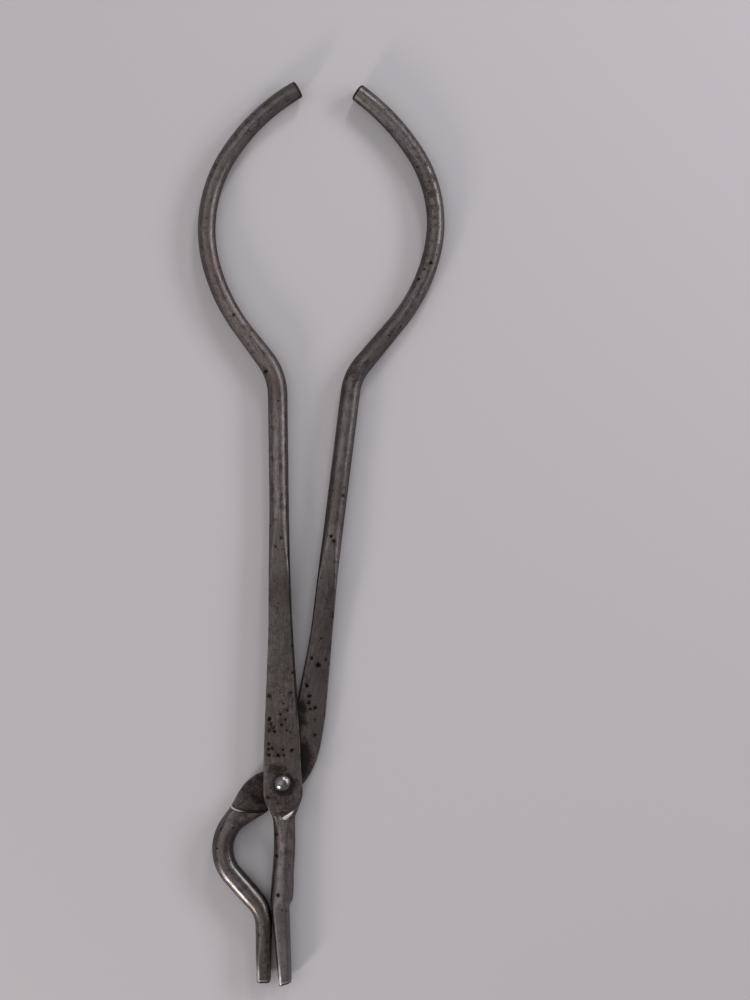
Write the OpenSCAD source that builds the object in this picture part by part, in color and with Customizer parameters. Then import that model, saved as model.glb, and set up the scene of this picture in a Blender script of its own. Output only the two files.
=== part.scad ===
// Riveted scissor tongs: two forged halves that cross and turn on one rivet.
// Each half is one steel bar: a round bow, a round shank, a flattened blade, a boss and a jaw.
// The tongs lie on the plane z = 0, with the jaws shut. +Y points along the shanks to the bows.
// The origin is on the rivet's axis, at the flat underside that the tongs lie on.
// Headings are in degrees from +Y, positive to the left, seen from above.

/* [Bar] */
// Diameter of the round bar in the bows
bow_d = 10; // [8:0.5:11]
// Diameter of the round bar in the shanks
shank_d = 11; // [9.5:0.5:13]
// Diameter of the round bar in the jaws
jaw_d = 12; // [11:0.5:14]

/* [Rivet joint] */
// Width of the upper half's boss across the rivet
boss_w = 22; // [20:0.5:26]
// Width of the lower half's blade where it reaches the rivet
band_w = 18; // [16:0.5:20]
// Thickness of the lower half's flat at the rivet
lower_flat_t = 6; // [5:0.25:6.5]
// Thickness of the upper half's flat at the rivet
upper_flat_t = 5; // [4:0.25:5.5]
// Space between the two flats
lap_gap = 0.2; // [0.1:0.05:0.3]
// Rounding along the edges of the blades where they are flattest
edge_r = 0.6; // [0.3:0.1:1.5]
// Diameter of the rivet's shank
rivet_d = 6; // [4:0.25:8]
// Diameter of the rivet's domed head
head_d = 9.6; // [9:0.2:13]
// Height of the rivet's domed head
head_h = 3.2; // [2:0.1:4.5]
// Diameter of the rivet's peened tail, flush in its countersink
tail_d = 9; // [8.5:0.25:12]
// Depth of the tail's countersink
tail_h = 1.5; // [1:0.1:2.5]
// Radial clearance of the rivet in its bores
rivet_fit = 0.05; // [0.02:0.01:0.08]

/* [Upper half, rein] */
// Lean of the upper shank to the left, in degrees
upper_lean = 0.8; // [0:0.1:3]
// Length of the upper rein from the rivet to its elbow
upper_rein_l = 214; // [180:1:240]
// Length of the upper blade, from the rivet to the round shank
upper_blade_l = 130; // [100:1:150]
// How far the upper blade swells out to the left, part of the way up to its shank
upper_blade_swell = 0.6; // [0:0.1:1.5]
// Distance from the rivet to the middle of that swelling
upper_blade_swell_at = 118; // [100:1:130]
// Radius of the upper elbow, to the bar's middle
upper_elbow_r = 34; // [20:1:50]
// Turn of the upper elbow, in degrees
upper_elbow_turn = 36.5; // [30:0.5:42]
// Length of the straight flank from the upper elbow to its bow
upper_flank_l = 20; // [12:1:30]
// Radius of the upper bow next to the flank
upper_bow_near_r = 104; // [90:1:120]
// Turn of the upper bow next to the flank, in degrees
upper_bow_near_turn = 21.5; // [15:0.5:28]
// Radius of the upper bow at its middle
upper_bow_mid_r = 76.5; // [65:0.5:90]
// Turn of the upper bow at its middle, in degrees
upper_bow_mid_turn = 48; // [40:0.5:52]
// Radius of the upper bow at its open end
upper_bow_end_r = 110; // [90:1:130]
// Turn of the upper bow at its open end, in degrees
upper_bow_end_turn = 28; // [18:0.5:30]

/* [Upper half, jaw] */
// Distance from the rivet to the step where the upper jaw starts
upper_shoulder_l = 17.5; // [17:0.5:20]
// Reach of the upper jaw from the rivet to its tip
upper_reach = 113.3; // [105:0.1:125]
// Lean of the upper jaw's root to the right, in degrees
upper_root_lean = 1.7; // [0:0.1:3]
// Length of the upper jaw's root from the rivet
upper_root_l = 28; // [24:1:30]
// Lean of the upper jaw's middle to the left, in degrees
upper_jaw_lean = 4.4; // [3:0.1:5]
// Distance from the rivet to the step where the upper jaw narrows
upper_step_l = 64.5; // [60:0.5:66]
// How far the upper jaw swells out to the right above that step
jaw_swell = 0.7; // [0:0.1:1.5]
// Distance from the rivet to the middle of that swelling
jaw_swell_at = 61; // [56:0.5:63]
// Lean of the upper tip to the right, in degrees
upper_tip_lean = 3.6; // [3:0.1:6]

/* [Lower half, rein] */
// Lean of the lower shank to the right, in degrees
lower_lean = 7.1; // [6:0.1:9]
// Radius of the curve that brings the lower blade to the rivet
lower_blade_r = 36.4; // [32:0.2:42]
// Turn of the curve that brings the lower blade to the rivet, in degrees
lower_blade_turn = 44.4; // [42:0.1:47]
// How far the lower blade swells out to the right, part of the way up to its shank
blade_swell = 1.1; // [0:0.1:2]
// Distance from the rivet to the middle of that swelling
blade_swell_at = 83; // [75:1:90]
// How far the lower blade's right edge is drawn in beside the rivet
blade_hollow = 1; // [0:0.1:2]
// Distance from the rivet to the middle of that hollow
blade_hollow_at = 24; // [18:1:30]
// Length of the lower shank from that curve to its elbow
lower_shank_l = 193; // [165:1:215]
// Distance along the lower blade from the rivet to the round shank
lower_blade_l = 130; // [100:1:150]
// Radius of the lower elbow, to the bar's middle
lower_elbow_r = 30; // [20:1:50]
// Turn of the lower elbow, in degrees
lower_elbow_turn = 32.9; // [28:0.1:40]
// Length of the straight flank from the lower elbow to its bow
lower_flank_l = 28.5; // [18:0.5:38]
// Radius of the lower bow next to the flank
lower_bow_near_r = 98; // [85:1:115]
// Turn of the lower bow next to the flank, in degrees
lower_bow_near_turn = 26; // [18:0.5:32]
// Radius of the lower bow at its middle
lower_bow_mid_r = 71; // [60:0.5:85]
// Turn of the lower bow at its middle, in degrees
lower_bow_mid_turn = 46.5; // [38:0.5:50]
// Radius of the lower bow at its open end
lower_bow_end_r = 125; // [100:1:145]
// Turn of the lower bow at its open end, in degrees
lower_bow_end_turn = 21.5; // [14:0.5:24]

/* [Lower half, jaw] */
// Length of the bulged jaw's straight root from the rivet
lower_root_l = 32; // [29:0.5:35]
// Radius of the bulge, to the bar's middle
bulge_r = 22; // [20:0.5:26]
// Slope of the flank from the bulge to the tip, in degrees from the Y axis
bulge_flank = 41.6; // [36:0.2:46]
// Radius of the bend from that flank to the tip
tip_bend_r = 20; // [16:0.5:24]
// Reach of the lower jaw from the rivet to its tip
lower_reach = 111.2; // [105:0.1:125]
// Distance along the lower jaw from the rivet to the step where it thickens
lower_shoulder_l = 23.5; // [23:0.5:27]
// Slope of that step from the X axis, in degrees
lower_shoulder_slope = -10.5; // [-16:0.5:-4]
// How far the lobe beside the rivet swells out
lobe_swell = 4.75; // [1:0.25:6]
// Distance from the rivet to the middle of the lobe
lobe_at = 16.5; // [10:0.5:18]
// Half the length of the lobe
lobe_half_l = 22; // [16:0.5:24]

/* [Tips] */
// Space between the shut jaws where they come closest
jaw_gap = 0.25; // [0.2:0.05:1]
// Distance from the rivet to the place where the jaws come closest
touch_l = 74; // [72:0.5:78]
// Width of the upper tip at its step
upper_tip_w = 9.8; // [8:0.1:11]
// Width of the upper tip at its end
upper_tip_end_w = 7.3; // [5:0.1:8]
// Width of the lower tip at its start
lower_tip_w = 9.2; // [8:0.1:11]
// Width of the lower tip at its end
lower_tip_end_w = 7.8; // [6:0.1:9]
// Thickness of both tips at their ends
tip_t = 8.5; // [6:0.25:11]
// Rounding along the edges of the tips
tip_r = 2.4; // [1:0.1:3]

/* [Hidden] */
$fn = 48;

bar_steel = "#5f5a56";
rivet_steel = "#9a979a";

// Levels: the lower flat lies on z = 0 and the upper flat on top of it.
// The shanks and jaws lie on z = 0 too.
upper_z = lower_flat_t + lap_gap;
stack_z = upper_z + upper_flat_t;
shank_z = shank_d / 2;
jaw_z = jaw_d / 2;

// Spaces above the upper flat and below the tail, that the rivet leaves when it is peened.
head_gap = 0.1;
tail_gap = 0.05;

// Both flats reach this far up the blades, past the place where the blades part.
flat_l = 58;
// The corners of a blade stay square and then turn round between two shares of its length.
square_share = 0.8;
round_share = 1.15;
// The upper blade goes on widening past the rivet,
// and its boss rounds off into the jaw between two distances.
upper_flare_end = 20;
boss_round_from = 6;
boss_round_to = 22;
// The lower blade widens between two distances up its rein.
lower_flare_from = 95;
lower_flare_to = 25;
// Half the lengths of the swellings along the upper blade's left edge and the upper jaw's right edge.
upper_blade_swell_half_l = 42;
jaw_swell_half_l = 16;
// Half the lengths of the swelling and the hollow along the lower blade's right edge.
blade_swell_half_l = 45;
blade_hollow_half_l = 22;
// The jaws start squarer than round, and are round again after this length.
root_r = 1.2;
root_blend_l = 12;
// The upper jaw bends over the first length below its root, and its tip over the second below its step.
jaw_bend_l = 16;
tip_bend_l = 8;
// The upper jaw narrows over this length at its step.
step_l = 4.5;
// Chamfers on the cut ends of the bows and the tips.
bow_chamfer = 1.2;
tip_chamfer = 0.8;

// The reins and jaws are skins over rings of points: the rings' distance on blades and jaws,
// the turn from one to the next in the elbow and the bow, and the steps round each corner.
ring_step = 3.5;
ring_turn = 4.5;
corner_steps = 5;
// A ring keeps this share of a full rounding, so that its four corners stay apart.
full_round = 0.98;
// A rein's skin reaches this far into its flat, and a flat this far into its jaw,
// and what reaches in lies this far inside the other's sides.
seam_l = 0.5;
seam = 0.1;
// Cutters reach this far past what they cut, and past both tips.
over = 1;
longest_reach = max(upper_reach, lower_reach);

// Rise from 0 to 1 as s goes from s0 to s1, straight and smooth, and a smooth hump round s0.
function ramp(s, s0, s1) = min(max((s - s0) / (s1 - s0), 0), 1);
function ease(s, s0, s1) = let (u = ramp(s, s0, s1)) u * u * (3 - 2 * u);
function hump(s, s0, half_l) = abs(s - s0) < half_l ? pow(cos(90 * (s - s0) / half_l), 2) : 0;

// A route is a list of [length, turn] pieces, and a place on it is [x, y, heading].
function straight(l) = [l, 0];
function bend(r, turn) = [r * abs(turn) * PI / 180, turn];
function onward(at, run, turn) =
    abs(turn) < 1e-6
        ? [at[0] - run * sin(at[2]), at[1] + run * cos(at[2]), at[2]]
        : let (r = run * 180 / (PI * turn), h = at[2] + turn)
            [at[0] + r * (cos(h) - cos(at[2])), at[1] + r * (sin(h) - sin(at[2])), h];
function route_l(route, i = 0) = i == len(route) ? 0 : route[i][0] + route_l(route, i + 1);
function along(at, route, s, i = 0) =
    i == len(route) - 1 || s <= route[i][0]
        ? onward(at, s, route[i][1] * s / route[i][0])
        : along(onward(at, route[i][0], route[i][1]), route, s - route[i][0], i + 1);
// The distance at which a piece of a route starts.
function piece_s(route, i) = i == 0 ? 0 : route[i - 1][0] + piece_s(route, i - 1);
// The same place, facing the other way.
function turned(at) = [at[0], at[1], at[2] - 180];
// The point at a distance to the right of a place.
function beside(at, right) = [at[0] + right * cos(at[2]), at[1] + right * sin(at[2])];

// The diameter of a rein's bar. It tapers along the flank, which is the piece after the elbow.
function rein_d(rein, elbow_i, s) =
    shank_d + (bow_d - shank_d) * ramp(s, piece_s(rein, elbow_i + 1), piece_s(rein, elbow_i + 2));

// The upper rein runs from the rivet to the open end of its bow.
upper_start = [0, 0, upper_lean];
upper_rein = [
    straight(upper_rein_l),
    bend(upper_elbow_r, upper_elbow_turn),
    straight(upper_flank_l),
    bend(upper_bow_near_r, -upper_bow_near_turn),
    bend(upper_bow_mid_r, -upper_bow_mid_turn),
    bend(upper_bow_end_r, -upper_bow_end_turn),
];
upper_elbow_i = 1;
// The upper jaw runs down from the rivet, a little to the right, then to the left, then to the right again.
upper_jaw_start = [0, 0, 180 + upper_root_lean];
upper_jaw = [
    straight(upper_root_l),
    [jaw_bend_l, -upper_root_lean - upper_jaw_lean],
    straight(upper_step_l - upper_root_l - jaw_bend_l),
    [tip_bend_l, upper_jaw_lean + upper_tip_lean],
    straight(upper_reach - upper_step_l - tip_bend_l),
];

// A distance along a whole half is positive up its rein and negative down its jaw.
function upper_at(s) =
    s < 0 ? turned(along(upper_jaw_start, upper_jaw, -s)) : along(upper_start, upper_rein, s);
// Half the width of the upper half there. To the left the blade swells out below the shank,
// and to the right the jaw swells out above its step.
function upper_half_w(s) = (
    rein_d(upper_rein, upper_elbow_i, s)
    + (boss_w - shank_d) * ease(-s, -upper_blade_l, upper_flare_end)
    + (jaw_d - boss_w) * ease(-s, boss_round_from, boss_round_to)
    + (upper_tip_w - jaw_d) * ease(-s, upper_step_l, upper_step_l + step_l)
    + (upper_tip_end_w - upper_tip_w) * ramp(-s, upper_step_l + step_l, upper_reach)
) / 2;
function upper_left_w(s) =
    upper_half_w(s)
    + upper_blade_swell * hump(s, upper_blade_swell_at, upper_blade_swell_half_l);
function upper_right_w(s) =
    let (above_step = 1 - ease(-s, upper_step_l, upper_step_l + step_l))
    upper_half_w(s)
    + jaw_swell * hump(-s, jaw_swell_at, jaw_swell_half_l) * above_step;

// The lower rein leaves the rivet along the line of its jaw, and curves into the line of its shank.
lower_start = [0, 0, -lower_lean - lower_blade_turn];
lower_rein = [
    bend(lower_blade_r, lower_blade_turn),
    straight(lower_shank_l),
    bend(lower_elbow_r, -lower_elbow_turn),
    straight(lower_flank_l),
    bend(lower_bow_near_r, lower_bow_near_turn),
    bend(lower_bow_mid_r, lower_bow_mid_turn),
    bend(lower_bow_end_r, lower_bow_end_turn),
];
lower_elbow_i = 2;
// The bulged jaw's tip stands beside the upper jaw, and the flank before it is as long as that takes.
lower_jaw_start = [0, 0, 180 + lower_start[2]];
bulge = [straight(lower_root_l), bend(bulge_r, bulge_flank - lower_start[2])];
bulge_end = along(lower_jaw_start, bulge, route_l(bulge));
touch_x = beside(upper_at(-touch_l), -upper_half_w(-touch_l))[0];
lower_tip_x = touch_x - jaw_gap - lower_tip_w / 2;
flank_run = lower_tip_x - bulge_end[0] - tip_bend_r * (1 - cos(bulge_flank));
to_tip = concat(bulge, [straight(flank_run / sin(bulge_flank)), bend(tip_bend_r, -bulge_flank)]);
to_tip_l = route_l(to_tip);
lower_jaw = concat(to_tip, [straight(lower_reach + along(lower_jaw_start, to_tip, to_tip_l)[1])]);
lower_jaw_l = route_l(lower_jaw);

function lower_at(s) =
    s < 0 ? turned(along(lower_jaw_start, lower_jaw, -s)) : along(lower_start, lower_rein, s);
// Half the width of the lower half. To the left the lobe swells out beside the rivet,
// and to the right the blade's edge swells out below the shank and is drawn in beside the rivet.
function lower_half_w(s) = (
    rein_d(lower_rein, lower_elbow_i, s)
    + (band_w - shank_d) * ease(-s, -lower_flare_from, -lower_flare_to)
    + (jaw_d - band_w) * ramp(-s, 0, lower_root_l)
    + (lower_tip_w - jaw_d) * ease(-s, to_tip_l - tip_bend_r, to_tip_l)
    + (lower_tip_end_w - lower_tip_w) * ramp(-s, to_tip_l, lower_jaw_l)
) / 2;
function lower_left_w(s) = lower_half_w(s) + lobe_swell * hump(-s, lobe_at, lobe_half_l);
function lower_right_w(s) =
    lower_half_w(s)
    + blade_swell * hump(s, blade_swell_at, blade_swell_half_l)
    - blade_hollow * hump(s, blade_hollow_at, blade_hollow_half_l);

// A cut across a half is its place, and the half widths to the left and to the right.
function upper_cut(s) = [upper_at(s), upper_left_w(s), upper_right_w(s)];
function lower_cut(s) = [lower_at(s), lower_left_w(s), lower_right_w(s)];

// Distances from s0 to s1, a ring's step apart or a little less.
function stations(s0, s1) =
    let (n = ceil((s1 - s0) / ring_step))
    [for (i = [0 : n]) s0 + (s1 - s0) * i / n];

// A ring of points round a cut: an upright rectangle with round corners, drawn in by an inset.
function ring(cut, low, high, r, inset = 0) =
    let (
        left = cut[1] - inset,
        right = cut[2] - inset,
        z0 = low + inset,
        z1 = high - inset,
        q = min(r, full_round * (z1 - z0) / 2, full_round * (left + right) / 2),
        corners = [
            [right - q, z0 + q, -90],
            [right - q, z1 - q, 0],
            [q - left, z1 - q, 90],
            [q - left, z0 + q, 180],
        ]
    )
    [
        for (corner = corners)
            for (k = [0 : corner_steps])
                let (turn = corner[2] + 90 * k / corner_steps, p = beside(cut[0], corner[0] + q * cos(turn)))
                [p[0], p[1], corner[1] + q * sin(turn)],
    ];

// Rings of a rein. Its levels go from the flat's to the bar's along the blade, and it ends in a chamfer.
function rein_rings(cuts, list, rein, elbow_i, blade_l, low, high) = [
    for (i = [0 : len(list) - 1])
        let (
            u = ease(list[i], list[1], blade_l),
            rounding = ease(list[i], square_share * blade_l, round_share * blade_l),
            d = rein_d(rein, elbow_i, list[i]),
            z0 = low + (shank_z - d / 2 - low) * u,
            z1 = high + (shank_z + d / 2 - high) * u,
            inset = i < 2 ? seam : i == len(list) - 1 ? bow_chamfer : 0
        )
        ring(cuts[i], z0, z1, edge_r + (d / 2 - edge_r) * rounding, inset),
];
// The distances of those rings: close on the blade, then at the ends of each straight piece
// and along each bend.
function rein_stations(rein, elbow_i, blade_l) = concat(
    [flat_l - seam_l],
    stations(flat_l + seam_l, round_share * blade_l),
    [piece_s(rein, elbow_i)],
    [
        for (i = [elbow_i : len(rein) - 1])
            let (n = max(ceil(abs(rein[i][1]) / ring_turn), 1))
            for (k = [1 : n]) piece_s(rein, i) + rein[i][0] * k / n,
    ],
    [route_l(rein) + bow_chamfer]
);

// Rings of a jaw, from its tip to its root, where it stands a little proud of its flat.
// The tip gets thinner and squarer from a distance down the jaw.
function jaw_rings(cuts, list, root_s, thin_s, square_l) = [
    for (i = [0 : len(list) - 1])
        let (
            thin = (jaw_d - tip_t) / 2 * ramp(list[i], thin_s, list[0]),
            round_up = ease(list[i], root_s, root_s - root_blend_l),
            square = ease(list[i], thin_s, thin_s - square_l),
            r = root_r + (jaw_z - root_r) * round_up + (tip_r - jaw_z) * square,
            proud = seam * (1 - round_up),
            cut = [cuts[i][0], cuts[i][1] + proud, cuts[i][2] + proud]
        )
        ring(cut, thin, jaw_d - thin, r, i == 0 ? tip_chamfer : 0),
];
function jaw_stations(tip_l, root_s) = concat([-tip_l], stations(tip_chamfer - tip_l, root_s));

// A closed skin over rings that follow each other along a half.
module skin(rings) {
    n = len(rings[0]);
    last = len(rings) - 1;
    sides = [
        for (i = [0 : last - 1], k = [0 : n - 1])
            let (a = i * n + k, b = i * n + (k + 1) % n)
            each [[a, b, b + n], [a, b + n, a + n]],
    ];
    start_cap = [for (k = [n - 1 : -1 : 0]) k];
    end_cap = [for (k = [0 : n - 1]) last * n + k];
    polyhedron([for (r = rings) each r], concat([start_cap], sides, [end_cap]));
}

// A flat with the outline of its cuts.
module flat(cuts, z0, z1) {
    right_edge = [for (c = cuts) beside(c[0], c[2])];
    left_edge = [for (i = [len(cuts) - 1 : -1 : 0]) beside(cuts[i][0], -cuts[i][1])];
    translate([0, 0, z0]) linear_extrude(z1 - z0) polygon(concat(right_edge, left_edge));
}

// Everything past a jaw's step, or past a plane deeper in the jaw.
// The step is a plane through a place, at a slope from the X axis.
module past_step(at, slope, deeper = 0) {
    translate([at[0], at[1], -over])
        rotate([0, 0, slope])
            translate([-longest_reach, -2 * longest_reach - deeper, 0])
                cube([2 * longest_reach, 2 * longest_reach, stack_z + jaw_d]);
}

module upper_half() {
    rein = rein_stations(upper_rein, upper_elbow_i, upper_blade_l);
    jaw = jaw_stations(upper_reach, over - upper_shoulder_l);
    step = upper_at(-upper_shoulder_l);
    rein_cuts = [for (s = rein) upper_cut(s)];
    color(bar_steel) difference() {
        union() {
            skin(rein_rings(rein_cuts, rein, upper_rein, upper_elbow_i, upper_blade_l, upper_z, stack_z));
            difference() {
                flat([for (s = stations(-upper_shoulder_l - over, flat_l)) upper_cut(s)], upper_z, stack_z);
                past_step(step, step[2], seam_l);
            }
            intersection() {
                skin(jaw_rings([for (s = jaw) upper_cut(s)], jaw, -upper_shoulder_l, -upper_step_l, step_l));
                past_step(step, step[2]);
            }
        }
        translate([0, 0, upper_z - over]) cylinder(h = upper_flat_t + 2 * over, d = rivet_d + 2 * rivet_fit);
    }
}

module lower_half() {
    rein = rein_stations(lower_rein, lower_elbow_i, lower_blade_l);
    // The step is slanted, so the flat goes on past its middle, and the jaw starts before it.
    slant_l = band_w / 2 + lobe_swell;
    jaw = jaw_stations(lower_jaw_l, slant_l - lower_shoulder_l);
    step = lower_at(-lower_shoulder_l);
    rein_cuts = [for (s = rein) lower_cut(s)];
    flat_cuts = [for (s = stations(-lower_shoulder_l - slant_l, flat_l)) lower_cut(s)];
    color(bar_steel) difference() {
        union() {
            skin(rein_rings(rein_cuts, rein, lower_rein, lower_elbow_i, lower_blade_l, 0, lower_flat_t));
            difference() {
                flat(flat_cuts, 0, lower_flat_t);
                past_step(step, lower_shoulder_slope, seam_l);
            }
            intersection() {
                skin(jaw_rings([for (s = jaw) lower_cut(s)], jaw, -lower_shoulder_l, -to_tip_l, tip_bend_l));
                past_step(step, lower_shoulder_slope);
            }
        }
        translate([0, 0, -over]) cylinder(h = lower_flat_t + 2 * over, d = rivet_d + 2 * rivet_fit);
        rivet_tail(rivet_fit);
        translate([0, 0, -over]) cylinder(h = over + tail_gap, d = tail_d + 2 * rivet_fit);
    }
}

// The rivet's tail, or the countersink round it with a radial clearance.
module rivet_tail(fit) {
    translate([0, 0, tail_gap]) cylinder(h = tail_h, d1 = tail_d + 2 * fit, d2 = rivet_d + 2 * fit);
}

module rivet() {
    dome_r = (head_h * head_h + head_d * head_d / 4) / (2 * head_h);
    head_z = stack_z + head_gap;
    color(rivet_steel) union() {
        rivet_tail(0);
        translate([0, 0, tail_gap]) cylinder(h = head_z - tail_gap, d = rivet_d);
        translate([0, 0, head_z]) intersection() {
            translate([0, 0, head_h - dome_r]) sphere(r = dome_r);
            cylinder(h = head_h + over, d = head_d + 2 * over);
        }
    }
}

upper_half();
lower_half();
rivet();
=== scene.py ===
# Looks of the riveted scissor tongs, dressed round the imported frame.
# Two forged halves are skinned along their bars by one node tree, and the rivet is turned as a solid.
# Lengths are in millimetres until a mesh is written, and headings in degrees from +Y, positive to the left.
import math

import bpy
import numpy as np
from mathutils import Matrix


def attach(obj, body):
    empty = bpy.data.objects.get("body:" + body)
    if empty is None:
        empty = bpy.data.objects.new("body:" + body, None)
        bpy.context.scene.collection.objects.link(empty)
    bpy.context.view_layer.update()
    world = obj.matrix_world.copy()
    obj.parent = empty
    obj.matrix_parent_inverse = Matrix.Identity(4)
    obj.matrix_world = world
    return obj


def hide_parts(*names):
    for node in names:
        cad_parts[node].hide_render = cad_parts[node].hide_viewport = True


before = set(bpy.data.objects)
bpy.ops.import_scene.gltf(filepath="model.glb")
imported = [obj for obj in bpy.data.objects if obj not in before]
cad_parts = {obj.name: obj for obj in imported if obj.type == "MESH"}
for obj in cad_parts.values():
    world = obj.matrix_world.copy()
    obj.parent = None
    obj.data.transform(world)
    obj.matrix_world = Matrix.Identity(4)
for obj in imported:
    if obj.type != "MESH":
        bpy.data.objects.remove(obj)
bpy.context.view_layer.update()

MM = 0.001

# Bar, blades and joint, as the frame has them.
BOW_D = 10.0
SHANK_D = 11.0
JAW_D = 12.0
BOSS_W = 22.0
BAND_W = 18.0
LOWER_FLAT_T = 6.0
UPPER_FLAT_T = 5.0
LAP_GAP = 0.2
EDGE_R = 0.7
BLADE_L = 130.0
FLAT_L = 58.0
SQUARE_SHARE = 0.8
ROUND_SHARE = 1.15
UPPER_Z = LOWER_FLAT_T + LAP_GAP
STACK_Z = UPPER_Z + UPPER_FLAT_T
SHANK_Z = SHANK_D / 2
JAW_Z = JAW_D / 2

# Jaws and tips.
UPPER_REACH = 113.3
LOWER_REACH = 111.2
BOW_CHAMFER = 1.2
UPPER_SHOULDER = 17.5
LOWER_SHOULDER = 26.7
UPPER_STEP = 64.5
STEP_L = 4.5
TIP_T = 8.5
TIP_R = 2.4
ROOT_R = 3.2
ROOT_BLEND_L = 14.0
UPPER_TIP_W = 9.8
UPPER_TIP_END_W = 7.3
LOWER_TIP_W = 9.2
LOWER_TIP_END_W = 7.8
LOWER_ROOT_L = 32.0
BULGE_R = 22.0
BULGE_FLANK = 41.6
TIP_BEND_R = 20.0
JAW_GAP = 0.25
TOUCH_L = 74.0
LOBE_SWELL = 4.75
LOBE_AT = 16.5
LOBE_HALF_L = 22.0
BLADE_SWELL = 1.1
BLADE_SWELL_AT = 83.0
BLADE_SWELL_HALF_L = 45.0
BLADE_HOLLOW = 1.0
BLADE_HOLLOW_AT = 24.0
BLADE_HOLLOW_HALF_L = 22.0
UPPER_BLADE_SWELL = 0.6
UPPER_BLADE_SWELL_AT = 118.0
UPPER_BLADE_SWELL_HALF_L = 42.0
JAW_SWELL = 0.7
JAW_SWELL_AT = 61.0
JAW_SWELL_HALF_L = 16.0

# The rivet.
RIVET_D = 6.0
RIVET_FIT = 0.05
HEAD_D = 9.6
HEAD_H = 3.2
TAIL_D = 9.0
TAIL_H = 1.5
HEAD_GAP = 0.1
TAIL_GAP = 0.05

# Edges that turn more than this stay crisp, in degrees.
CREASE = 48

# The domed head's hammered facets: azimuth, tilt from upright and depth.
DOME_RINGS = 24
HEAD_FACETS = [(150, 30, 0.03), (330, 26, 0.04), (74, 36.5, 0.05), (45, 37, 0.05), (225, 31, 0.05)]

# Pits that show in the photograph: x, y and radius. A pit is this deep for its radius.
PIT_DEPTH = 0.2
UPPER_PITS = [
    (-7.2, 47.9, 1.1), (-7.2, 35.2, 1.0), (-6.2, 32.6, 1.0), (-5.2, 30.6, 1.1), (-4.4, 28.4, 0.9),
    (-7.1, 28.9, 1.1), (0.4, 43.8, 0.6), (2.8, 40.1, 0.8), (-1.2, 37.9, 0.8), (1.9, 35.0, 0.6),
    (-0.6, 32.0, 0.8), (2.4, 29.2, 0.8), (5.2, 18.0, 1.0), (-7.4, 21.6, 0.8), (-5.5, 19.1, 1.0),
    (-7.6, 18.6, 0.8), (-7.5, 15.4, 0.9), (-2.3, 15.2, 1.0), (0.9, 15.2, 0.9), (0.2, 18.4, 0.6),
    (-7.9, -8.2, 1.0), (-2.2, -11.0, 0.8), (5.5, 75.6, 0.8), (5.8, 60.6, 0.8), (4.6, 49.5, 0.9),
    (-3.5, -28.0, 1.1), (-3.4, -40.1, 1.0), (-2.6, -61.7, 1.0), (-3.9, 130.4, 0.8), (-0.8, 134.9, 0.8),
    (-9.4, 226.7, 0.9), (-26.9, 257.9, 0.8),
]
LOWER_PITS = [
    (19.7, 64.5, 1.5), (16.1, 68.4, 1.0), (23.8, 67.3, 0.8), (13.3, 52.9, 1.1), (14.7, 47.3, 1.0),
    (14.4, 43.5, 1.1), (15.2, 40.1, 0.9), (17.7, 40.7, 1.0), (17.7, 34.1, 0.6), (17.7, 25.7, 0.9),
    (28.2, 133.2, 1.1), (26.9, 135.9, 0.9), (33.4, 158.1, 0.9), (81.8, 286.5, 0.8), (78.2, 283.1, 0.6),
    (75.1, 277.7, 0.8), (-14.3, -20.0, 1.1),
]

# Stains, some of them also painted shade: round the rivet's head, on the lower lobe under the upper
# boss, beside the upper blade, at the lower jaw's root and between the tips. x, y, half width, half
# height and strength.
UPPER_STAINS_AND_SHADE = [
    (-1.0, 64.0, 7.0, 22.0, 0.3),
    (0.9, -0.9, 6.2, 6.2, 3.6), (-2.6, 7.0, 5.6, 3.6, 1.5), (-0.5, -9.0, 7.0, 6.0, 0.9),
    (-1.0, -16.6, 6.0, 1.2, 1.0), (-1.0, 35.0, 5.0, 10.0, 0.35), (-3.5, 18.0, 5.0, 4.0, 0.55),
    (-7.2, 47.9, 2.0, 2.4, 0.6), (-9.4, 226.7, 3.0, 4.0, 0.5),
]
LOWER_STAINS_AND_SHADE = [
    (-10.0, -6.0, 14.0, 13.0, 1.5), (10.2, 38.0, 3.2, 11.0, 1.6), (11.5, 13.0, 4.6, 11.0, 2.2),
    (-22.0, -20.0, 7.0, 6.0, 0.6), (-7.4, -90.0, 3.0, 24.0, 1.0), (40.4, 226.7, 5.0, 6.0, 0.45),
    (34.0, 160.0, 3.0, 5.0, 0.3), (78.0, 325.0, 12.0, 46.0, 0.4),
]

# A flat is lower at its edges by this share, and the hammered skin lies this deep at most.
CROWN = 0.08
UNEVENNESS = 0.16
HAMMER_SIZE = 9.0

# Spacing of the rings along a bar, and their points across the top and down a side.
RING_STEP = 0.8
FINE_STEP = 0.22
WIDE_POINTS = 44
NARROW_POINTS = 10


def ramp(s, s0, s1):
    """Rises from 0 at s0 to 1 at s1."""
    return min(max((s - s0) / (s1 - s0), 0.0), 1.0)


def ease(s, s0, s1):
    """Rises smoothly from 0 at s0 to 1 at s1."""
    u = ramp(s, s0, s1)
    return u * u * (3 - 2 * u)


def hump(s, middle, half_l):
    """A smooth hump of height 1 round the middle."""
    return math.cos(math.pi / 2 * (s - middle) / half_l) ** 2 if abs(s - middle) < half_l else 0.0


def straight(length):
    return (length, 0.0)


def bend(radius, turn):
    return (radius * math.radians(abs(turn)), turn)


def onward(place, run, turn):
    """The place after a run that turns evenly. A place is x, y and heading."""
    x, y, heading = place
    h0 = math.radians(heading)
    if abs(turn) < 1e-6:
        return (x - run * math.sin(h0), y + run * math.cos(h0), heading)
    radius = run / math.radians(turn)
    h1 = h0 + math.radians(turn)
    x += radius * (math.cos(h1) - math.cos(h0))
    y += radius * (math.sin(h1) - math.sin(h0))
    return (x, y, heading + turn)


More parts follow.
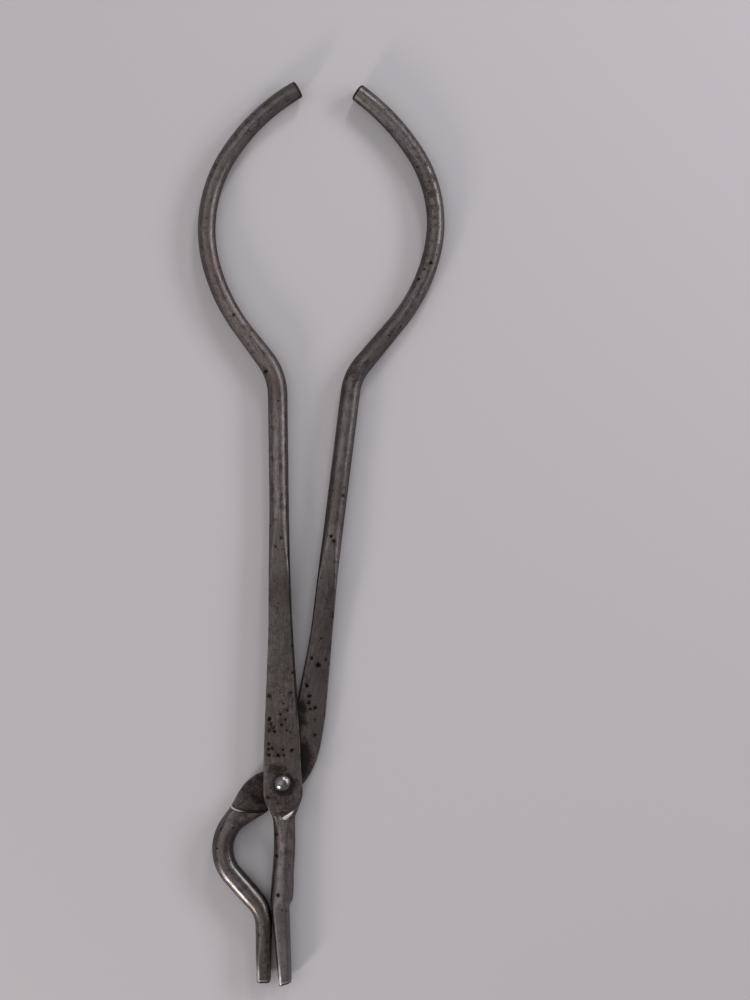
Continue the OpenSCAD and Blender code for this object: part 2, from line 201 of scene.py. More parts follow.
def along(place, route, s):
    """The place at a distance along a route of (length, turn) pieces."""
    for i, (length, turn) in enumerate(route):
        if s <= length or i == len(route) - 1:
            return onward(place, s, turn * s / length)
        place = onward(place, length, turn)
        s -= length


def route_l(route):
    return sum(length for length, turn in route)


def about_face(place):
    return (place[0], place[1], place[2] - 180)


def rein_d(route, elbow_i, s):
    """The diameter of a rein's bar, which tapers along the flank after the elbow."""
    start = route_l(route[:elbow_i + 1])
    return SHANK_D + (BOW_D - SHANK_D) * ramp(s, start, start + route[elbow_i + 1][0])


# The upper half: its shank stands nearly upright, and its jaw is almost straight.
UPPER_START = (0.0, 0.0, 0.8)
UPPER_REIN = [
    straight(length=214),
    bend(radius=34, turn=36.5),
    straight(length=20),
    bend(radius=104, turn=-21.5),
    bend(radius=76.5, turn=-48),
    bend(radius=110, turn=-28),
]
UPPER_ELBOW = 1
UPPER_JAW_START = (0.0, 0.0, 181.7)
UPPER_JAW = [straight(length=28), (16, -6.1), straight(length=20.5), (8, 8.0), straight(length=40.8)]


def upper_place(s):
    """The place on the upper half at s, which is positive up the rein and negative down the jaw."""
    if s < 0:
        return about_face(along(UPPER_JAW_START, UPPER_JAW, -s))
    return along(UPPER_START, UPPER_REIN, s)


def upper_half_w(s):
    return (
        rein_d(UPPER_REIN, UPPER_ELBOW, s)
        + (BOSS_W - SHANK_D) * ease(-s, -BLADE_L, 20)
        + (JAW_D - BOSS_W) * ease(-s, 6, 22)
        + (UPPER_TIP_W - JAW_D) * ease(-s, UPPER_STEP, UPPER_STEP + STEP_L)
        + (UPPER_TIP_END_W - UPPER_TIP_W) * ramp(-s, UPPER_STEP + STEP_L, UPPER_REACH)
    ) / 2


# The lower half: its blade curves under the upper one, and its jaw bulges round an eye.
LOWER_START = (0.0, 0.0, -51.5)
LOWER_REIN = [
    bend(radius=36.4, turn=44.4),
    straight(length=193),
    bend(radius=30, turn=-32.9),
    straight(length=28.5),
    bend(radius=98, turn=26),
    bend(radius=71, turn=46.5),
    bend(radius=125, turn=21.5),
]
LOWER_ELBOW = 2
LOWER_JAW_START = (0.0, 0.0, 128.5)
BULGE = [straight(LOWER_ROOT_L), bend(BULGE_R, BULGE_FLANK - LOWER_START[2])]
bulge_end = along(LOWER_JAW_START, BULGE, route_l(BULGE))
touch = upper_place(-TOUCH_L)
touch_x = touch[0] - upper_half_w(-TOUCH_L) * math.cos(math.radians(touch[2]))
lower_tip_x = touch_x - JAW_GAP - LOWER_TIP_W / 2
flank_run = lower_tip_x - bulge_end[0] - TIP_BEND_R * (1 - math.cos(math.radians(BULGE_FLANK)))
TO_TIP = BULGE + [straight(flank_run / math.sin(math.radians(BULGE_FLANK))), bend(TIP_BEND_R, -BULGE_FLANK)]
to_tip_l = route_l(TO_TIP)
LOWER_JAW = TO_TIP + [straight(LOWER_REACH + along(LOWER_JAW_START, TO_TIP, to_tip_l)[1])]
lower_jaw_l = route_l(LOWER_JAW)


def lower_place(s):
    if s < 0:
        return about_face(along(LOWER_JAW_START, LOWER_JAW, -s))
    return along(LOWER_START, LOWER_REIN, s)


def lower_half_w(s):
    return (
        rein_d(LOWER_REIN, LOWER_ELBOW, s)
        + (BAND_W - SHANK_D) * ease(-s, -95, -25)
        + (JAW_D - BAND_W) * ramp(-s, 0, LOWER_ROOT_L)
        + (LOWER_TIP_W - JAW_D) * ease(-s, to_tip_l - TIP_BEND_R, to_tip_l)
        + (LOWER_TIP_END_W - LOWER_TIP_W) * ramp(-s, to_tip_l, lower_jaw_l)
    ) / 2


def rein_levels(d, s, low, high):
    """Lowest level, highest level and corner radius of a rein, from its flat blade to its round bar."""
    u = ease(s, FLAT_L, BLADE_L)
    rounding = ease(s, SQUARE_SHARE * BLADE_L, ROUND_SHARE * BLADE_L)
    return (
        low + (SHANK_Z - d / 2 - low) * u,
        high + (SHANK_Z + d / 2 - high) * u,
        EDGE_R + (d / 2 - EDGE_R) * rounding,
    )


def jaw_levels(s, shoulder, thin_s, end_s, square_l):
    """The same of a jaw, down to its thinner tip."""
    thin = (JAW_D - TIP_T) / 2 * ramp(-s, thin_s, end_s)
    square = ease(-s, thin_s, thin_s + square_l)
    rounded = ease(-s, shoulder, shoulder + ROOT_BLEND_L)
    return thin, JAW_D - thin, ROOT_R + (JAW_Z - ROOT_R) * rounded + (TIP_R - JAW_Z) * square


def mixed(a, b, u):
    return [x + (y - x) * u for x, y in zip(a, b)]


# Each jaw starts over a short length, with a corner that rounds off at the top.
SHOULDER_L = 1.1
# The lower shoulder's line has a painted highlight over this length.
SHOULDER_HIGHLIGHT_L = 0.5
UNDERCUT_L = 0.9

# The upper boss ends in a hollow, whose far wall rises to the jaw's crest. The wall's line is straight
# on the left and then swings round the crest's lowest place, with the lean and the curve of a parabola.
CREST_AT = 21.3
CREST_WALL_L = 2.4
# A painted highlight runs along the crest's wall over this length.
CREST_HIGHLIGHT_L = 1.9
CREST_HOLLOW = 0.35
CREST_HOLLOW_L = 4.5
CREST_LEAN = 1.5
CREST_CURVE = 4.8
CREST_LEFT = 3.0
NO_CEILING = 30.0

# The lower shoulder is slanted and curved: its rings lie this far off at their right edges.
# The upper tip is cut off at a slant.
SHOULDER_SKEW = 7.0
SHOULDER_CURVE = 3.4
SKEW_HALF_L = 24.0
TIP_SLANT = 0.95
TIP_SLANT_L = 8.0


def rounded_rise(s, shoulder):
    """Rises steeply from 0 at a shoulder and rounds off to 1."""
    return math.sqrt(1 - (1 - ramp(-s, shoulder, shoulder + SHOULDER_L)) ** 2)


def crest_ceiling(s):
    """The level that cuts off the upper boss and the start of its jaw."""
    if -s > CREST_AT + 1:
        return NO_CEILING
    wall_s = CREST_AT - CREST_WALL_L
    hollow_z = STACK_Z - CREST_HOLLOW
    if -s < wall_s:
        return hollow_z + (CREST_HOLLOW + 1) * (1 - ramp(-s, wall_s - CREST_HOLLOW_L, wall_s)) ** 2
    return hollow_z + (JAW_D + 0.5 - hollow_z) * (-s - wall_s) / CREST_WALL_L


def upper_section(s):
    """Half widths to the left and right, levels, corner radius, ceiling and the painted highlight along the
    crest.
    """
    half_w = upper_half_w(s)
    left_w = half_w + UPPER_BLADE_SWELL * hump(s, UPPER_BLADE_SWELL_AT, UPPER_BLADE_SWELL_HALF_L)
    before_step = 1 - ease(-s, UPPER_STEP, UPPER_STEP + STEP_L)
    right_w = half_w + JAW_SWELL * hump(-s, JAW_SWELL_AT, JAW_SWELL_HALF_L) * before_step
    d = rein_d(UPPER_REIN, UPPER_ELBOW, s)
    flat = rein_levels(d, s, UPPER_Z, STACK_Z)
    jaw = jaw_levels(s, UPPER_SHOULDER, UPPER_STEP, UPPER_REACH, STEP_L)
    low, high, corner = mixed(flat, jaw, ease(-s, UPPER_SHOULDER, UPPER_SHOULDER + UNDERCUT_L))
    # A painted highlight along the crest's wall.
    bright = hump(-s, CREST_AT - CREST_HIGHLIGHT_L, CREST_HIGHLIGHT_L)
    return left_w, right_w, low, high, corner, crest_ceiling(s), bright


def upper_slant(s):
    """How far on along the bar a ring lies at its middle, and what its skew and curve add at the right."""
    slant = TIP_SLANT * hump(-s, UPPER_REACH, TIP_SLANT_L)
    return slant, slant, 0.0


def lower_section(s):
    half_w = lower_half_w(s)
    left_w = half_w + LOBE_SWELL * hump(-s, LOBE_AT, LOBE_HALF_L)
    right_w = (
        half_w
        + BLADE_SWELL * hump(s, BLADE_SWELL_AT, BLADE_SWELL_HALF_L)
        - BLADE_HOLLOW * hump(s, BLADE_HOLLOW_AT, BLADE_HOLLOW_HALF_L)
    )
    d = rein_d(LOWER_REIN, LOWER_ELBOW, s)
    flat = rein_levels(d, s, 0.0, LOWER_FLAT_T)
    jaw = jaw_levels(s, LOWER_SHOULDER, to_tip_l, lower_jaw_l, TIP_BEND_R)
    low, high, corner = mixed(flat, jaw, rounded_rise(s, LOWER_SHOULDER))
    # A painted highlight along the shoulder's line.
    bright = hump(-s, LOWER_SHOULDER + SHOULDER_HIGHLIGHT_L / 2, SHOULDER_HIGHLIGHT_L)
    return left_w, right_w, low, high, corner, NO_CEILING, bright


def lower_slant(s):
    near = hump(-s, LOWER_SHOULDER, SKEW_HALF_L)
    return 0.0, SHOULDER_SKEW * near, SHOULDER_CURVE * near


def spaced(start, end, step):
    count = max(math.ceil((end - start) / step), 1)
    return [start + (end - start) * i / count for i in range(count)]


def bar_stations(jaw_l, rein_l, fine_from, fine_to):
    """Distances of the rings from the tip's end to the bow's, closer together about the shoulder."""
    return (
        spaced(-jaw_l, -fine_to, RING_STEP)
        + spaced(-fine_to, -fine_from, FINE_STEP)
        + spaced(-fine_from, rein_l + BOW_CHAMFER, RING_STEP)
        + [rein_l + BOW_CHAMFER]
    )


# Cut ends are rounded over their first rings and then close in rings that swell out a little.
END_ROUND = 1.3
END_SWELL = 0.25
ROUND_RINGS = 5
CLOSING_RINGS = 6


def end_rings(half):
    """Distance back from the end and inset of each ring that closes a bar with this least half size."""
    rings = []
    for i in range(ROUND_RINGS + 1):
        turn = math.pi / 2 * i / ROUND_RINGS
        rings.append((END_SWELL + END_ROUND * (1 - math.sin(turn)), END_ROUND * (1 - math.cos(turn))))
    for i in range(1, CLOSING_RINGS + 1):
        u = i / CLOSING_RINGS
        rings.append((END_SWELL * (1 - u) ** 2, END_ROUND + (half - END_ROUND) * u))
    return rings


def bar_rings(place, section, slant, stations):
    """One row a ring: x, y, run, s, half widths, levels, corner, ceiling, slant, then shares from 0 to 1."""
    first, last = stations[0], stations[-1]
    rows = []

    def add_ring(s, inset):
        left, right, low, high, corner, ceiling, bright = section(s)
        shift, skew, curve = slant(s)
        half_w = (left + right) / 2
        half_t = (high - low) / 2 - inset
        drawn_in = 1 - inset / half_w
        corner = max(min(corner - inset, half_t, half_w - inset), 0.0)
        roundness = corner / max(min(half_t, half_w - inset), 1e-4)
        x, y, heading = place(s)
        rows.append([
            x, y, 0.0, s, left, right, low + inset, high - inset, corner, ceiling,
            shift, skew * drawn_in, curve * drawn_in ** 2, drawn_in, roundness, bright,
        ])

    def half_size(s):
        left, right, low, high = section(s)[:4]
        return min((left + right) / 2, (high - low) / 2)

    reach = END_ROUND + END_SWELL
    for back, inset in reversed(end_rings(half_size(first))):
        add_ring(first + back, inset)
    for s in stations:
        if first + reach + 0.1 < s < last - reach - 0.1:
            add_ring(s, 0.0)
    for back, inset in end_rings(half_size(last)):
        add_ring(last - back, inset)
    for i in range(1, len(rows)):
        rows[i][2] = rows[i - 1][2] + math.dist(rows[i][:2], rows[i - 1][:2])
    return rows


def mesh_object(name, vertices, edges=(), faces=()):
    mesh = bpy.data.meshes.new(name)
    mesh.from_pydata([tuple(v) for v in vertices], list(edges), list(faces))
    made = bpy.data.objects.new(name, mesh)
    bpy.context.scene.collection.objects.link(made)
    return made


def put_attribute(made, name, kind, values):
    attribute = made.data.attributes.new(name, kind, "POINT")
    key = "vector" if kind == "FLOAT_VECTOR" else "value"
    attribute.data.foreach_set(key, np.asarray(values, np.float32).ravel())


def spine_object(name, rows):
    """A line of points along the bar, which carries its sections as attributes, in metres."""
    rows = np.array(rows)
    lengths = rows * MM
    points = np.column_stack([lengths[:, 0], lengths[:, 1], np.zeros(len(rows))])
    spine = mesh_object(name, points, edges=[(i, i + 1) for i in range(len(rows) - 1)])
    put_attribute(spine, "run", "FLOAT", lengths[:, 2])
    put_attribute(spine, "widths", "FLOAT_VECTOR", lengths[:, [4, 5, 3]])
    put_attribute(spine, "levels", "FLOAT_VECTOR", lengths[:, [6, 7, 8]])
    put_attribute(spine, "ceiling", "FLOAT", lengths[:, 9])
    put_attribute(spine, "slant", "FLOAT_VECTOR", lengths[:, [10, 11, 12]])
    put_attribute(spine, "drawn in", "FLOAT", rows[:, 13])
    put_attribute(spine, "roundness", "FLOAT", rows[:, 14])
    put_attribute(spine, "bright", "FLOAT", rows[:, 15])
    s = lengths[:, 3]
    put_attribute(spine, "from end", "FLOAT", np.minimum(s - s.min(), s.max() - s))
    return spine


def section_object():
    """A ring on the unit square, once with its points drawn to the corners and once evenly turned."""
    sharp = []
    even = []
    for side in range(4):
        count = WIDE_POINTS if side % 2 == 0 else NARROW_POINTS
        for i in range(count):
            v = 2 * i / count - 1
            for ring, p in ((sharp, math.sin(math.pi / 2 * v)), (even, math.tan(math.pi / 4 * v))):
                ring.append([(-p, 1, 0), (-1, -p, 0), (p, -1, 0), (1, p, 0)][side])
    ring = mesh_object("section", sharp)
    put_attribute(ring, "even", "FLOAT_VECTOR", even)
    return ring


def add(tree, kind, inputs=None, **settings):
    """Adds a node with its settings. inputs gives a socket's name or place a value or another socket."""
    node = tree.nodes.new(kind)
    for name, value in settings.items():
        setattr(node, name, value)
    for key, value in (inputs or {}).items():
        socket = node.inputs[key] if isinstance(key, int) else next(
            s for s in node.inputs if s.name == key and s.enabled
        )
        if isinstance(value, bpy.types.NodeSocket):
            tree.links.new(value, socket)
        else:
            socket.default_value = value
    return node


def out(node, name=None):
    """A node's first output in use, or the one of that name."""
    return next(s for s in node.outputs if s.enabled and (name is None or s.name == name))


def maths(tree, operation, *values):
    return out(add(tree, "ShaderNodeMath", dict(enumerate(values)), operation=operation))


def bar_tree():
    """Skins a bar: one ring of the section at each point of the spine, crowned and a little uneven."""
    tree = bpy.data.node_groups.new("forged bar", "GeometryNodeTree")
    socket = tree.interface.new_socket
    socket("Spine", in_out="INPUT", socket_type="NodeSocketGeometry")
    socket("Section", in_out="INPUT", socket_type="NodeSocketObject")
    for name in (
        "Crest lean", "Crest curve", "Crest left", "Fade left", "Highlight left", "Highlight right", "Fade right",
        "Crown", "Unevenness", "Hammer size", "Seed",
    ):
        socket(name, in_out="INPUT", socket_type="NodeSocketFloat")
    socket("Steel", in_out="INPUT", socket_type="NodeSocketMaterial")
    socket("Bar", in_out="OUTPUT", socket_type="NodeSocketGeometry")
    given = add(tree, "NodeGroupInput")
    spine = out(given, "Spine")
    section = out(add(tree, "GeometryNodeObjectInfo", {"Object": out(given, "Section")}), "Geometry")
    index = out(add(tree, "GeometryNodeInputIndex"))

    def named(name, kind):
        return out(add(tree, "GeometryNodeInputNamedAttribute", {"Name": name}, data_type=kind))

    def at(geometry, value, kind, place):
        return out(add(
            tree, "GeometryNodeSampleIndex", {"Geometry": geometry, "Value": value, "Index": place},
            data_type=kind,
        ))

    def vectors(operation, *values, result="Vector"):
        return out(add(tree, "ShaderNodeVectorMath", dict(enumerate(values)), operation=operation), result)

    def scaled(vector, factor):
        return out(add(tree, "ShaderNodeVectorMath", {0: vector, "Scale": factor}, operation="SCALE"))

    def split(vector):
        parts = add(tree, "ShaderNodeSeparateXYZ", {0: vector})
        return out(parts, "X"), out(parts, "Y"), out(parts, "Z")

    rows = out(add(tree, "GeometryNodeAttributeDomainSize", {"Geometry": spine}), "Point Count")
    ring = out(add(tree, "GeometryNodeAttributeDomainSize", {"Geometry": section}), "Point Count")
    columns = maths(tree, "ADD", ring, 1.0)
    grid = add(tree, "GeometryNodeMeshGrid", {"Vertices X": rows, "Vertices Y": columns})
    row = maths(tree, "FLOOR", maths(tree, "DIVIDE", index, columns))
    column = maths(tree, "MODULO", maths(tree, "MODULO", index, columns), ring)

    # The ring's point on the unit square, drawn to the corners or evenly turned.
    position = out(add(tree, "GeometryNodeInputPosition"))
    sharp = at(section, position, "FLOAT_VECTOR", column)
    even = at(section, named("even", "FLOAT_VECTOR"), "FLOAT_VECTOR", column)
    roundness = at(spine, named("roundness", "FLOAT"), "FLOAT", row)
    squareness = maths(tree, "SUBTRACT", 1.0, roundness)
    unit = out(add(
        tree, "ShaderNodeMix", {"Factor": roundness, "A": sharp, "B": even}, data_type="VECTOR",
    ))
    side = split(unit)[0]
    side_squared = maths(tree, "MULTIPLY", side, side)

    # The place along the spine, which a slanted ring moves on from its row's own.
    run = at(spine, named("run", "FLOAT"), "FLOAT", row)
    shift, skew, curve = split(at(spine, named("slant", "FLOAT_VECTOR"), "FLOAT_VECTOR", row))
    length = maths(tree, "ADD", run, maths(
        tree, "MULTIPLY_ADD", curve, side_squared, maths(tree, "MULTIPLY_ADD", skew, side, shift),
    ))
    line = out(add(tree, "GeometryNodeMeshToCurve", {"Mesh": spine}))

    def along_line(value, kind, distance):
        return add(
            tree, "GeometryNodeSampleCurve", {"Curves": line, "Value": value, "Length": distance},
            data_type=kind, mode="LENGTH",
        )

    spot = along_line(named("widths", "FLOAT_VECTOR"), "FLOAT_VECTOR", length)
    left, right, distance = split(out(spot, "Value"))
    low, high, corner = split(at(spine, named("levels", "FLOAT_VECTOR"), "FLOAT_VECTOR", row))
    half_w = maths(tree, "MULTIPLY", maths(tree, "ADD", left, right), 0.5)
    half_w = maths(tree, "MULTIPLY", half_w, at(spine, named("drawn in", "FLOAT"), "FLOAT", row))
    half_t = maths(tree, "MULTIPLY", maths(tree, "SUBTRACT", high, low), 0.5)

    # The nearest point inside by a corner radius, then that radius out again.
    half = out(add(tree, "ShaderNodeCombineXYZ", {0: half_w, 1: half_t}))
    inner = out(add(tree, "ShaderNodeCombineXYZ", {
        0: maths(tree, "SUBTRACT", half_w, corner), 1: maths(tree, "SUBTRACT", half_t, corner),
    }))
    outer = vectors("MULTIPLY", unit, half)
    core = vectors("MAXIMUM", vectors("MINIMUM", outer, inner), vectors("SUBTRACT", (0, 0, 0), inner))
    away = vectors("NORMALIZE", vectors("SUBTRACT", outer, core))
    over, up, _ = split(vectors("ADD", core, scaled(away, corner)))

    # A flat is thickest in its middle, and the crest's ceiling and its painted highlight follow their own
    # line across the upper jaw.
    crown = maths(tree, "MULTIPLY", out(given, "Crown"), maths(tree, "MULTIPLY", squareness, side_squared))
    aside = maths(tree, "MULTIPLY_ADD", maths(tree, "SUBTRACT", right, left), 0.5, over)
    level = maths(tree, "ADD", maths(tree, "MULTIPLY", maths(tree, "ADD", high, low), 0.5), maths(
        tree, "MULTIPLY", up, maths(tree, "SUBTRACT", 1.0, crown),
    ))
    parabola = maths(tree, "MULTIPLY_ADD", out(given, "Crest curve"), side_squared, maths(
        tree, "MULTIPLY", out(given, "Crest lean"), side,
    ))
    swing = out(add(
        tree, "ShaderNodeMapRange", {"Value": side, "From Min": -0.5, "From Max": -0.25},
        interpolation_type="SMOOTHSTEP",
    ))
    crest = out(add(
        tree, "ShaderNodeMix", {"Factor": swing, "A": out(given, "Crest left"), "B": parabola},
        data_type="FLOAT",
    ))
    crest_run = maths(tree, "SUBTRACT", run, crest)
    ceiling = out(along_line(named("ceiling", "FLOAT"), "FLOAT", crest_run), "Value")
    bright = out(along_line(named("bright", "FLOAT"), "FLOAT", crest_run), "Value")
    level = maths(tree, "SMOOTH_MIN", level, ceiling, 0.45 * MM)

    # Into place beside the spine.
    tangent_x, tangent_y, _ = split(out(spot, "Tangent"))
    across = out(add(tree, "ShaderNodeCombineXYZ", {
        0: tangent_y, 1: maths(tree, "MULTIPLY", tangent_x, -1.0),
    }))
    upright = out(add(tree, "ShaderNodeCombineXYZ", {2: level}))
    place = vectors("ADD", vectors("ADD", out(spot, "Position"), scaled(across, aside)), upright)
    skin = out(add(tree, "GeometryNodeSetPosition", {"Geometry": out(grid, "Mesh"), "Position": place}))

    def kept(skin, name, kind, value):
        return out(add(
            tree, "GeometryNodeStoreNamedAttribute", {"Geometry": skin, "Name": name, "Value": value},
            data_type=kind, domain="POINT",
        ))

    # Kept for the steel: the place on the bar as if it were straight, and how far across it from -1 at the
    # left to 1 at the right, its corners, the painted highlight on its crest and shoulder line, how flat it
    # is, and the distance from its cut end.
    skin = kept(skin, "unbent", "FLOAT_VECTOR", out(add(
        tree, "ShaderNodeCombineXYZ", {0: distance, 1: aside, 2: level},
    )))
    away_x, away_y, _ = split(away)
    turned = maths(tree, "ABSOLUTE", maths(tree, "MULTIPLY", maths(tree, "MULTIPLY", away_x, away_y), 2.0))
    skin = kept(skin, "edge", "FLOAT", maths(tree, "MULTIPLY", turned, squareness))
    skin = kept(skin, "across", "FLOAT", maths(tree, "DIVIDE", over, half_w))
    # The painted highlight fades out towards the given sides and stays on the top.
    for far, near in (("Fade left", "Highlight left"), ("Fade right", "Highlight right")):
        fade = add(tree, "ShaderNodeMapRange", {
            "Value": side, "From Min": out(given, far), "From Max": out(given, near),
        })
        bright = maths(tree, "MULTIPLY", bright, out(fade))
    bright = maths(tree, "MULTIPLY", bright, maths(tree, "GREATER_THAN", up, 0.0))
    skin = kept(skin, "bright", "FLOAT", bright)
    skin = kept(skin, "flat", "FLOAT", squareness)
    skin = kept(skin, "from end", "FLOAT", at(spine, named("from end", "FLOAT"), "FLOAT", row))
    skin = out(add(tree, "GeometryNodeMergeByDistance", {"Geometry": skin, "Distance": 0.002 * MM}))

    # Hammering and wear have left the bar a little uneven, always inside its nominal size.
    size = maths(tree, "DIVIDE", 1.0, out(given, "Hammer size"))
    noise = out(add(
        tree, "ShaderNodeTexNoise",
        {"Vector": position, "W": out(given, "Seed"), "Scale": size, "Detail": 3.0, "Roughness": 0.5},
        noise_dimensions="4D",
    ))
    depth = maths(tree, "MULTIPLY", noise, maths(tree, "MULTIPLY", out(given, "Unevenness"), -1.0))
    normal = out(add(tree, "GeometryNodeInputNormal"))
    skin = out(add(tree, "GeometryNodeSetPosition", {"Geometry": skin, "Offset": scaled(normal, depth)}))
    skin = out(add(tree, "GeometryNodeSetShadeSmooth", {"Geometry": skin}))
    skin = out(add(tree, "GeometryNodeRealizeInstances", {"Geometry": skin}))
    skin = out(add(tree, "GeometryNodeSetMaterial", {"Geometry": skin, "Material": out(given, "Steel")}))
    add(tree, "NodeGroupOutput", {"Bar": skin})
    return tree


def set_inputs(modifier, values):
    """Sets a modifier's inputs by their sockets' identifiers."""
    for item in modifier.node_group.interface.items_tree:
        if item.item_type == "SOCKET" and item.in_out == "INPUT" and item.name in values:
            modifier[item.identifier] = values[item.name]


def make_plain(made):
    """Keeps what the modifiers make as the object's own mesh."""
    bpy.context.view_layer.update()
    evaluated = made.evaluated_get(bpy.context.evaluated_depsgraph_get())
    mesh = bpy.data.meshes.new_from_object(evaluated)
    made.modifiers.clear()
    made.data = mesh
    return made


def lathe(name, outline, sides=96):
    """A closed solid turned about Z from (radius, height) points, which start and end on the axis."""
    vertices = [(0.0, 0.0, outline[0][1] * MM)]
    for r, z in outline[1:-1]:
        for k in range(sides):
            turn = 2 * math.pi * k / sides
            vertices.append((r * math.cos(turn) * MM, r * math.sin(turn) * MM, z * MM))
    vertices.append((0.0, 0.0, outline[-1][1] * MM))
    top = len(vertices) - 1
    faces = []
    for k in range(sides):
        after = (k + 1) % sides
        faces.append((0, 1 + after, 1 + k))
        for i in range(len(outline) - 3):
            a, b = 1 + i * sides + k, 1 + i * sides + after
            faces.append((a, b, b + sides, a + sides))
        faces.append((top - sides + k, top - sides + after, top))
    made = mesh_object(name, vertices, faces=faces)
    made.data.polygons.foreach_set("use_smooth", [True] * len(made.data.polygons))
    return made


def bored(half, outline):
    """The half with a hole of this outline through it, about the rivet's axis."""
    drill = lathe("drill", outline)
    modifier = half.modifiers.new("bore", "BOOLEAN")
    modifier.operation = "DIFFERENCE"
    modifier.solver = "EXACT"
    modifier.object = drill
    half = make_plain(half)
    bpy.data.objects.remove(drill)
    half.data.set_sharp_from_angle(angle=math.radians(CREASE))
    return half


def read_vectors(collection, key, count):
    values = np.empty(count * 3, np.float32)
    collection.foreach_get(key, values)
    return values.reshape(-1, 3)


def marked(half, pits, stains_and_shade):
    """The half with its larger pits dented in from above and its stains and painted shade kept for the
    steel.
    """
    mesh = half.data
    count = len(mesh.vertices)
    points = read_vectors(mesh.vertices, "co", count)
    normals = read_vectors(mesh.vertices, "normal", count)
    on_top = np.clip(normals[:, 2] * 3, 0, 1)
    depth = np.zeros(count)
    for x, y, radius in pits:
        far = np.hypot(points[:, 0] / MM - x, points[:, 1] / MM - y) / radius
        depth = np.maximum(depth, PIT_DEPTH * radius * np.exp(-far ** 2))
    points = points - normals * (depth * on_top)[:, None] * MM
    mesh.vertices.foreach_set("co", points.astype(np.float32).ravel())
    stain_and_shade = np.zeros(count)
    for x, y, half_x, half_y, strength in stains_and_shade:
        far = np.hypot((points[:, 0] / MM - x) / half_x, (points[:, 1] / MM - y) / half_y)
        stain_and_shade = np.maximum(stain_and_shade, strength * np.clip(1.5 - far, 0, 1) ** 1.5)
    put_attribute(half, "stain_and_shade", "FLOAT", stain_and_shade)
    mesh.update()
    return half


def forged_half(name, rows, tree, section, steel, seed, crest, highlight_fade, bore, pits, stains_and_shade):
    """A half as a plain mesh: skinned along its spine, bored for the rivet, pitted, and given its stains and
    painted shade.
    """
    half = spine_object(name, rows)
    modifier = half.modifiers.new("forged bar", "NODES")
    modifier.node_group = tree
    lean, curve, left = crest
    fade_left, highlight_left, highlight_right, fade_right = highlight_fade
    set_inputs(modifier, {
        "Section": section, "Crest lean": lean * MM, "Crest curve": curve * MM, "Crest left": left * MM,
        "Fade left": fade_left, "Highlight left": highlight_left, "Highlight right": highlight_right,
        "Fade right": fade_right, "Crown": CROWN, "Unevenness": UNEVENNESS * MM,
        "Hammer size": HAMMER_SIZE * MM, "Seed": seed, "Steel": steel,
    })
    half = marked(bored(make_plain(half), bore), pits, stains_and_shade)
    print(name, "vertices", len(half.data.vertices), "faces", len(half.data.polygons))
    return half


def linear(code, alpha=1.0):
    """A colour written as sRGB hex, as linear values."""
    parts = [int(code[i:i + 2], 16) / 255 for i in (1, 3, 5)]
    return [p / 12.92 if p <= 0.04045 else ((p + 0.055) / 1.055) ** 2.4 for p in parts] + [alpha]


def new_material(name):
    material = bpy.data.materials.new(name)
    material.use_nodes = True
    tree = material.node_tree
    shader = next(n for n in tree.nodes if n.type == "BSDF_PRINCIPLED")
    return material, tree, shader


def noise_value(tree, place, size, detail=3.0, roughness=0.5):
    """Cloudy noise about 0.5, whose lumps are about this many millimetres apart."""
    return out(add(
        tree, "ShaderNodeTexNoise",
        {"Vector": place, "Scale": 1 / (size * MM), "Detail": detail, "Roughness": roughness},
    ))


def between(tree, value, start, end, low=0.0, high=1.0):
    """Goes smoothly from low to high while the value goes from start to end."""
    return out(add(
        tree, "ShaderNodeMapRange",
        {"Value": value, "From Min": start, "From Max": end, "To Min": low, "To Max": high},
        interpolation_type="SMOOTHSTEP",
    ))


def blended(tree, factor, first, second):
    return out(add(tree, "ShaderNodeMix", {"Factor": factor, "A": first, "B": second}, data_type="RGBA"))


def scaled_place(tree, place, scale, shift=(0, 0, 0)):
    """The place stretched for a pattern and moved to its own part of the noise."""
    return out(add(tree, "ShaderNodeMapping", {"Vector": place, "Scale": scale, "Location": shift}))


def placed_pits(tree, place, ragged, pits):
    """How far out of the nearest pit that shows in the photograph, as a share of its ragged radius."""
    flat = out(add(tree, "ShaderNodeVectorMath", {0: place, 1: (1, 1, 0)}, operation="MULTIPLY"))
    jitter = out(add(tree, "ShaderNodeVectorMath", {0: ragged, 1: (0.5, 0.5, 0.5)}, operation="SUBTRACT"))
    jitter = out(add(
        tree, "ShaderNodeVectorMath", {0: jitter, 1: (2.0 * MM, 2.0 * MM, 0)}, operation="MULTIPLY",
    ))
    flat = out(add(tree, "ShaderNodeVectorMath", {0: flat, 1: jitter}, operation="ADD"))
    nearest = 9.0
    for x, y, radius in pits:
        far = out(add(
            tree, "ShaderNodeVectorMath", {0: flat, 1: (x * MM, y * MM, 0)}, operation="DISTANCE",
        ), "Value")
        nearest = maths(tree, "MINIMUM", maths(tree, "DIVIDE", far, radius * MM), nearest)
    return nearest


def specks(tree, place, spacing, largest):
    """Small pits scattered at random, a few of them large: 1 inside and 0 outside."""
    cells = add(tree, "ShaderNodeTexVoronoi", {"Vector": place, "Scale": 1 / (spacing * MM)})
    chance = out(add(tree, "ShaderNodeSeparateColor", {0: out(cells, "Color")}), "Red")
    reach = maths(tree, "MULTIPLY_ADD", maths(tree, "POWER", chance, 5.0), largest / spacing, 0.01)
    return between(tree, maths(tree, "DIVIDE", out(cells, "Distance"), reach), 1.1, 0.6)


